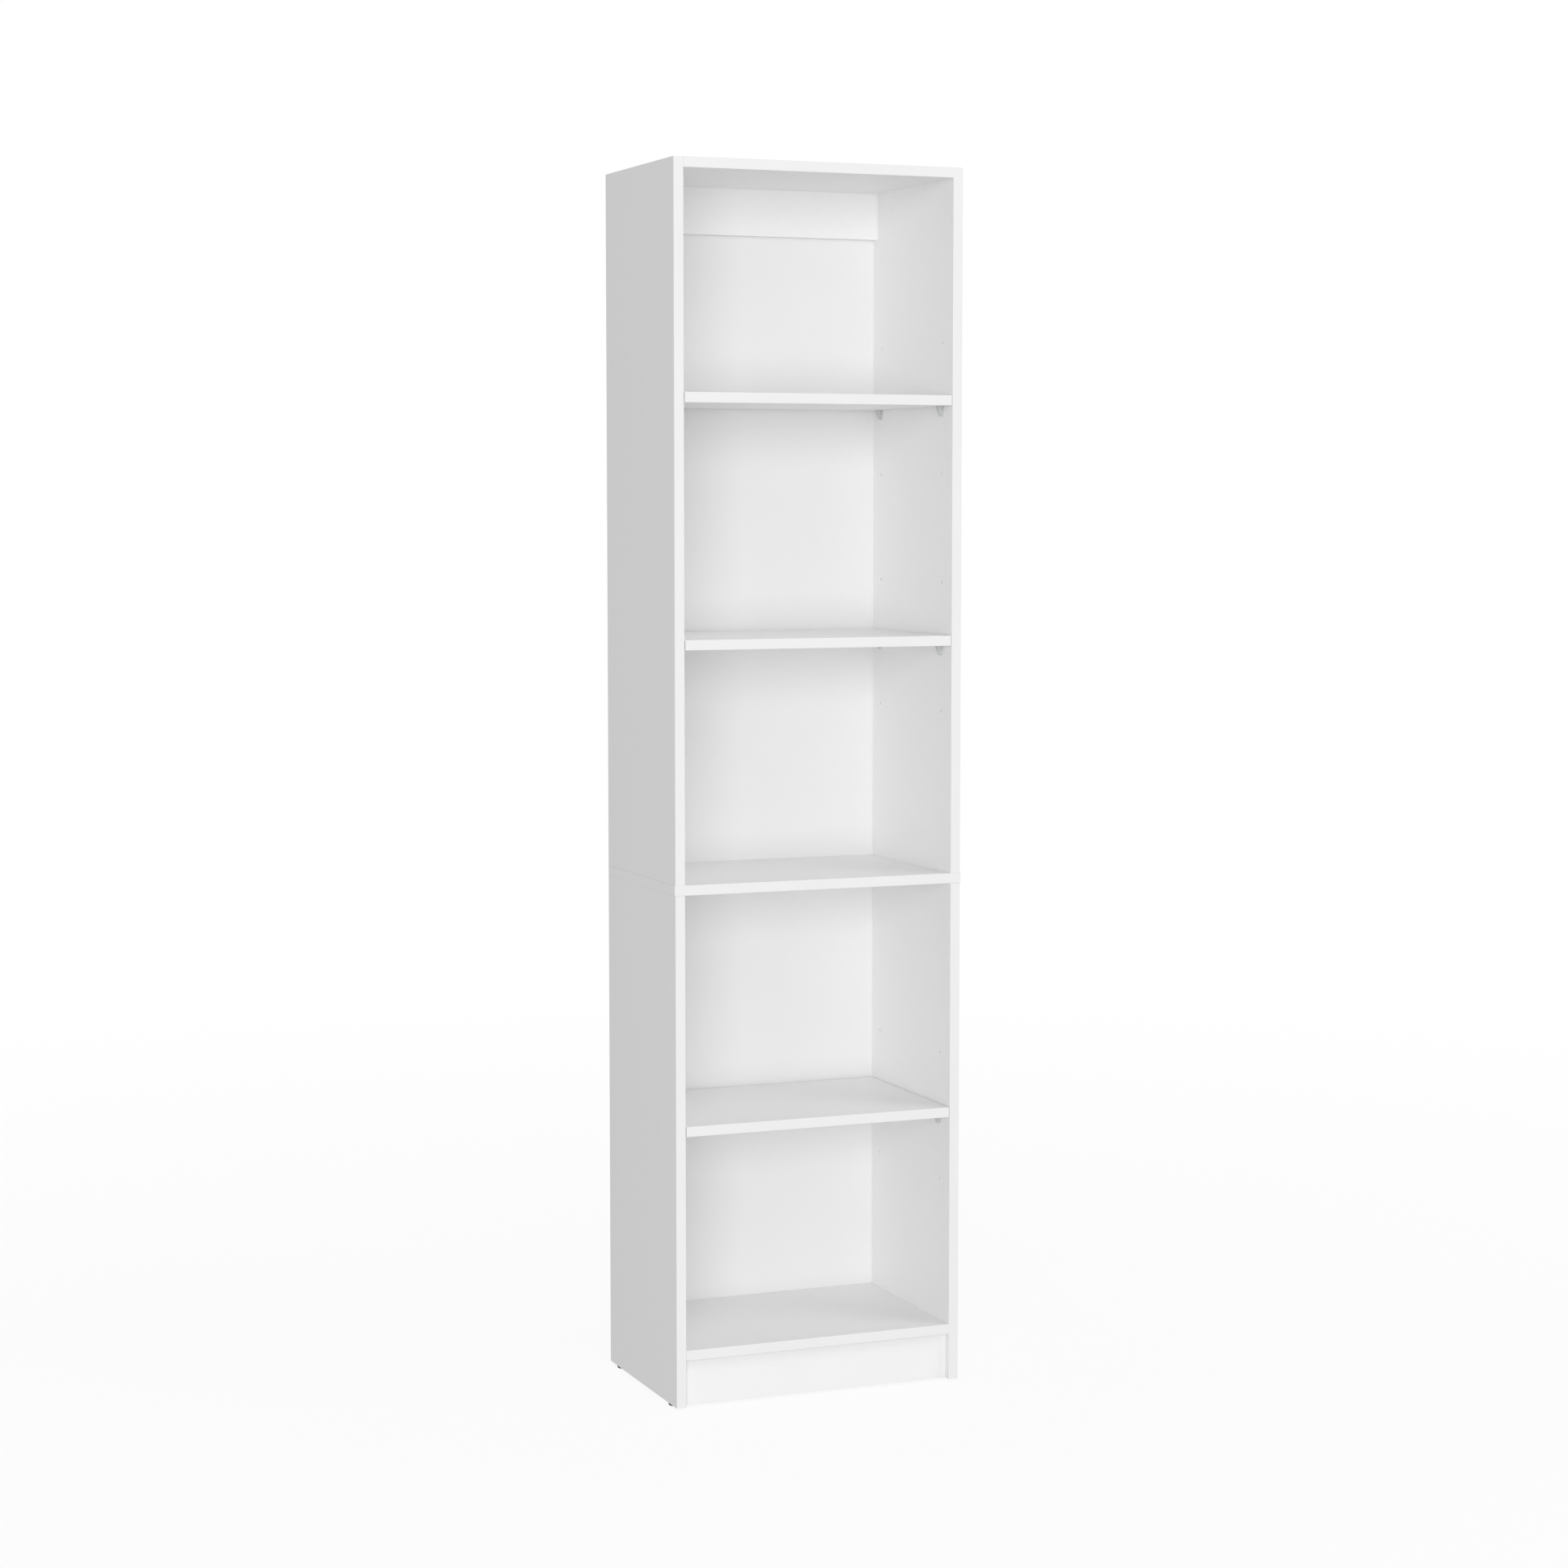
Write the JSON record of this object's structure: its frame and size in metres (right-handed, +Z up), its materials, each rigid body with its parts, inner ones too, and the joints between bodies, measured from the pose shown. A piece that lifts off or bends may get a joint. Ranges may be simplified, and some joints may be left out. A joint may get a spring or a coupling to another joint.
{
  "type": "bookcase with adjustable shelves",
  "caption": "Tall narrow white bookcase with an open front, a fixed middle shelf, loose shelves on pins in rows of holes, a plinth and a back.",
  "frame": {"origin": "on the floor under the glides, at the middle of the overall width and depth", "axes": "+Z up, +X to the right as seen from the open front, +Y towards the back; the open front faces -Y"},
  "size_m": [0.452, 0.293, 1.804],
  "materials": {
    "board": "15 mm particleboard faced in white melamine, low sheen, raw at hidden ends",
    "edging": "1 mm white plastic edging, satin, rounded arrises",
    "back_sheet": "3 mm hardboard, white lacquer inside, raw brown outside",
    "shelf_pin": "frosted grey moulded plastic",
    "glide": "dark grey moulded plastic",
    "cam_lock": "bare zinc casting, dull",
    "cam_bolt": "zinc-plated steel",
    "joining_screw": "zinc-plated steel",
    "nail": "bright steel wire",
    "dowel": "fluted beech, unfinished"
  },
  "bodies": {
    "case": {"back_nails_lower": "nail", "back_nails_upper": "nail", "back_panel_lower": "back_sheet", "back_panel_upper": "back_sheet", "back_rail": "board", "back_rail_cam_bolts": "cam_bolt", "back_rail_cam_locks": "cam_lock", "bottom_shelf": "board", "bottom_shelf_cam_bolts": "cam_bolt", "bottom_shelf_cam_locks": "cam_lock", "bottom_shelf_edging": "edging", "fixed_shelf": "board", "fixed_shelf_edging": "edging", "glide_front_left": "glide", "glide_front_right": "glide", "glide_nails": "nail", "glide_rear_left": "glide", "glide_rear_right": "glide", "joining_screws": "joining_screw", "left_side_lower": "board", "left_side_lower_edging": "edging", "left_side_upper": "board", "left_side_upper_edging": "edging", "long_dowels": "dowel", "plinth": "board", "plinth_cam_bolts": "cam_bolt", "plinth_cam_locks": "cam_lock", "right_side_lower": "board", "right_side_lower_edging": "edging", "right_side_upper": "board", "right_side_upper_edging": "edging", "short_dowels": "dowel", "top_panel": "board", "top_panel_cam_bolts": "cam_bolt", "top_panel_cam_locks": "cam_lock", "top_panel_edging": "edging"},
    "adjustable_shelf_upper": {"adjustable_shelf_upper": "board", "adjustable_shelf_upper_edging": "edging"},
    "adjustable_shelf_centre": {"adjustable_shelf_centre": "board", "adjustable_shelf_centre_edging": "edging"},
    "adjustable_shelf_lower": {"adjustable_shelf_lower": "board", "adjustable_shelf_lower_edging": "edging"},
    "shelf_pin_upper_front_left": {"shelf_pin_upper_front_left": "shelf_pin"},
    "shelf_pin_upper_front_right": {"shelf_pin_upper_front_right": "shelf_pin"},
    "shelf_pin_upper_rear_left": {"shelf_pin_upper_rear_left": "shelf_pin"},
    "shelf_pin_upper_rear_right": {"shelf_pin_upper_rear_right": "shelf_pin"},
    "shelf_pin_centre_front_left": {"shelf_pin_centre_front_left": "shelf_pin"},
    "shelf_pin_centre_front_right": {"shelf_pin_centre_front_right": "shelf_pin"},
    "shelf_pin_centre_rear_left": {"shelf_pin_centre_rear_left": "shelf_pin"},
    "shelf_pin_centre_rear_right": {"shelf_pin_centre_rear_right": "shelf_pin"},
    "shelf_pin_lower_front_left": {"shelf_pin_lower_front_left": "shelf_pin"},
    "shelf_pin_lower_front_right": {"shelf_pin_lower_front_right": "shelf_pin"},
    "shelf_pin_lower_rear_left": {"shelf_pin_lower_rear_left": "shelf_pin"},
    "shelf_pin_lower_rear_right": {"shelf_pin_lower_rear_right": "shelf_pin"}
  },
  "joints": [
    {"name": "lift_upper_shelf", "type": "slide", "parent": "case", "child": "adjustable_shelf_upper", "axis": [0, 0, 1], "range_m": [0, 0.096]},
    {"name": "lift_centre_shelf", "type": "slide", "parent": "case", "child": "adjustable_shelf_centre", "axis": [0, 0, 1], "range_m": [0, 0.096]},
    {"name": "lift_lower_shelf", "type": "slide", "parent": "case", "child": "adjustable_shelf_lower", "axis": [0, 0, 1], "range_m": [0, 0.096]},
    {"name": "pull_pin_upper_front_left", "type": "slide", "parent": "case", "child": "shelf_pin_upper_front_left", "axis": [1, 0, 0], "range_m": [0, 0.01]},
    {"name": "pull_pin_upper_front_right", "type": "slide", "parent": "case", "child": "shelf_pin_upper_front_right", "axis": [-1, 0, 0], "range_m": [0, 0.01]},
    {"name": "pull_pin_upper_rear_left", "type": "slide", "parent": "case", "child": "shelf_pin_upper_rear_left", "axis": [1, 0, 0], "range_m": [0, 0.01]},
    {"name": "pull_pin_upper_rear_right", "type": "slide", "parent": "case", "child": "shelf_pin_upper_rear_right", "axis": [-1, 0, 0], "range_m": [0, 0.01]},
    {"name": "pull_pin_centre_front_left", "type": "slide", "parent": "case", "child": "shelf_pin_centre_front_left", "axis": [1, 0, 0], "range_m": [0, 0.01]},
    {"name": "pull_pin_centre_front_right", "type": "slide", "parent": "case", "child": "shelf_pin_centre_front_right", "axis": [-1, 0, 0], "range_m": [0, 0.01]},
    {"name": "pull_pin_centre_rear_left", "type": "slide", "parent": "case", "child": "shelf_pin_centre_rear_left", "axis": [1, 0, 0], "range_m": [0, 0.01]},
    {"name": "pull_pin_centre_rear_right", "type": "slide", "parent": "case", "child": "shelf_pin_centre_rear_right", "axis": [-1, 0, 0], "range_m": [0, 0.01]},
    {"name": "pull_pin_lower_front_left", "type": "slide", "parent": "case", "child": "shelf_pin_lower_front_left", "axis": [1, 0, 0], "range_m": [0, 0.01]},
    {"name": "pull_pin_lower_front_right", "type": "slide", "parent": "case", "child": "shelf_pin_lower_front_right", "axis": [-1, 0, 0], "range_m": [0, 0.01]},
    {"name": "pull_pin_lower_rear_left", "type": "slide", "parent": "case", "child": "shelf_pin_lower_rear_left", "axis": [1, 0, 0], "range_m": [0, 0.01]},
    {"name": "pull_pin_lower_rear_right", "type": "slide", "parent": "case", "child": "shelf_pin_lower_rear_right", "axis": [-1, 0, 0], "range_m": [0, 0.01]}
  ]
}
